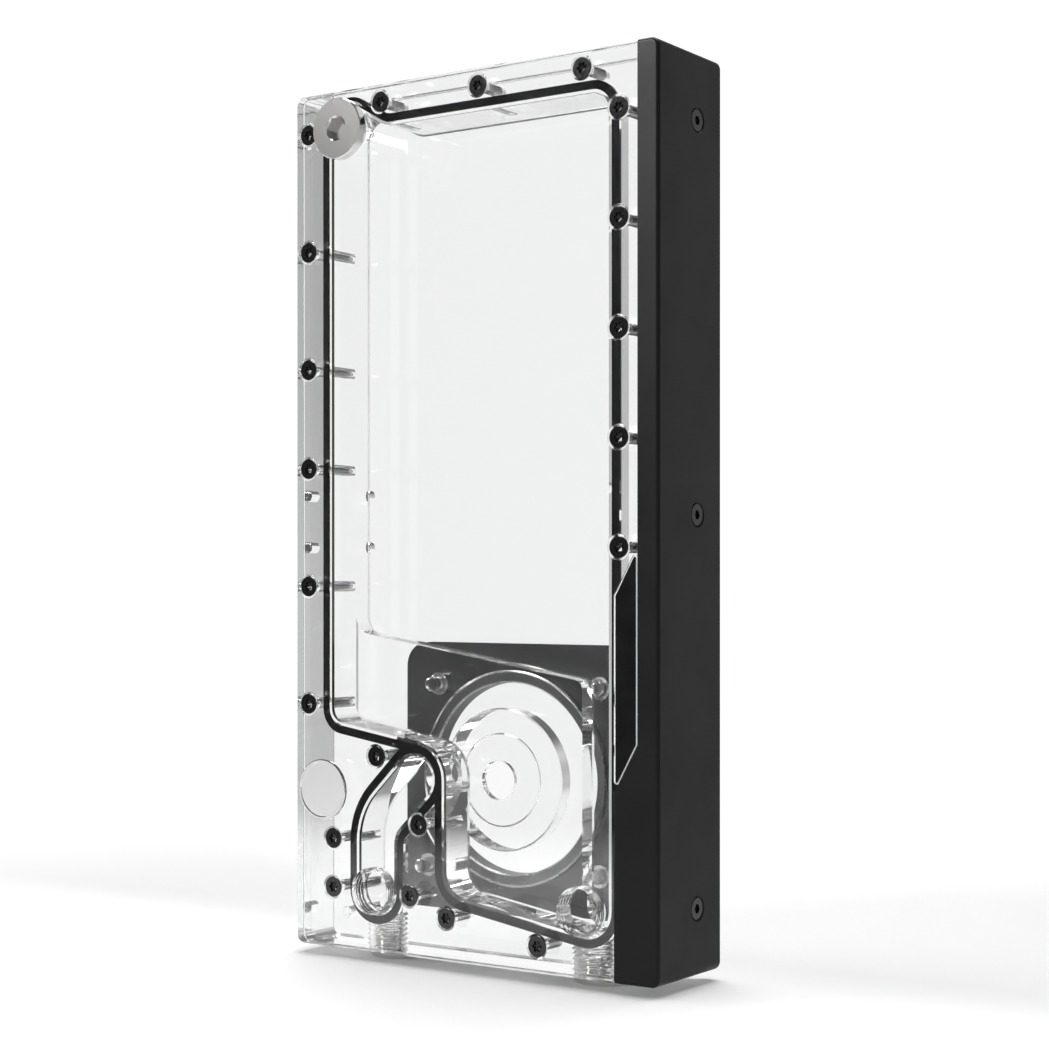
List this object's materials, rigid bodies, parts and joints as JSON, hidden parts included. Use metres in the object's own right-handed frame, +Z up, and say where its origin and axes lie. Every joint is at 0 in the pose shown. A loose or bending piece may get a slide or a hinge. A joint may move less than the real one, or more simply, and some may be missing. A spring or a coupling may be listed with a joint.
{
  "type": "water cooling reservoir",
  "caption": "Flat upright reservoir for a liquid cooling loop: clear block with a milled chamber, clear screwed front plate, moulded gasket, pump seat, threaded ports and screw-in stop plugs.",
  "frame": {"origin": "under the middle of the whole object, on the floor that the two lower plugs stand on", "axes": "+Z up, -Y towards the viewer of the front plate, +X to the viewer's right, towards the side cover"},
  "size_m": [0.12, 0.0346, 0.2426],
  "materials": {
    "clear_acrylic": "clear cast acrylic, polished",
    "gasket_rubber": "smooth moulded black rubber",
    "black_steel": "black oxide, fine satin",
    "nickel_brass": "nickel plated, satin",
    "black_anodised": "black anodised, fine matt",
    "black_strip": "black, satin",
    "silver_badge": "silver, satin",
    "dark_plate": "dark grey anodised",
    "stainless": "bright stainless"
  },
  "bodies": {
    "reservoir": {"front_plate": "clear_acrylic", "reservoir_body": "clear_acrylic", "chamber_gasket": "gasket_rubber", "cover_screws_left": "black_steel", "cover_screws_top": "black_steel", "cover_screws_right": "black_steel", "cover_screws_lower": "black_steel", "side_cover": "black_anodised", "side_cover_screws": "black_steel", "label_strip": "black_strip", "badge": "silver_badge", "pump_plate": "dark_plate", "pump_inserts": "nickel_brass", "pump_plate_screws": "stainless"},
    "fill_plug_ring": {"fill_plug_seal": "gasket_rubber"},
    "fill_plug_screw": {"fill_plug": "nickel_brass"},
    "drain_plug_left_ring": {"drain_plug_left_seal": "gasket_rubber"},
    "drain_plug_left_screw": {"drain_plug_left": "nickel_brass"},
    "drain_plug_right_ring": {"drain_plug_right_seal": "gasket_rubber"},
    "drain_plug_right_screw": {"drain_plug_right": "nickel_brass"}
  },
  "joints": [
    {"name": "fill_plug_travel", "type": "slide", "parent": "reservoir", "child": "fill_plug_ring", "axis": [0, -1, 0], "range_m": [0, 0.0054]},
    {"name": "fill_plug_turn", "type": "hinge", "parent": "fill_plug_ring", "child": "fill_plug_screw", "pos_m": [-0.0431, -0.0147, 0.2316], "axis": [0, -1, 0], "range_deg": [0, 1440]},
    {"name": "drain_plug_left_travel", "type": "slide", "parent": "reservoir", "child": "drain_plug_left_ring", "axis": [0, 0, -1], "range_m": [0, 0.0054]},
    {"name": "drain_plug_left_turn", "type": "hinge", "parent": "drain_plug_left_ring", "child": "drain_plug_left_screw", "pos_m": [-0.0331, -0.0007, 0.0026], "axis": [0, 0, -1], "range_deg": [0, 1440]},
    {"name": "drain_plug_right_travel", "type": "slide", "parent": "reservoir", "child": "drain_plug_right_ring", "axis": [0, 0, -1], "range_m": [0, 0.0054]},
    {"name": "drain_plug_right_turn", "type": "hinge", "parent": "drain_plug_right_ring", "child": "drain_plug_right_screw", "pos_m": [0.0355, -0.0007, 0.0026], "axis": [0, 0, -1], "range_deg": [0, 1440]}
  ],
  "couplings": [
    {"joint": "fill_plug_travel", "follows": "fill_plug_turn", "m_per_rad": 0.00021279},
    {"joint": "drain_plug_left_travel", "follows": "drain_plug_left_turn", "m_per_rad": 0.00021279},
    {"joint": "drain_plug_right_travel", "follows": "drain_plug_right_turn", "m_per_rad": 0.00021279}
  ]
}
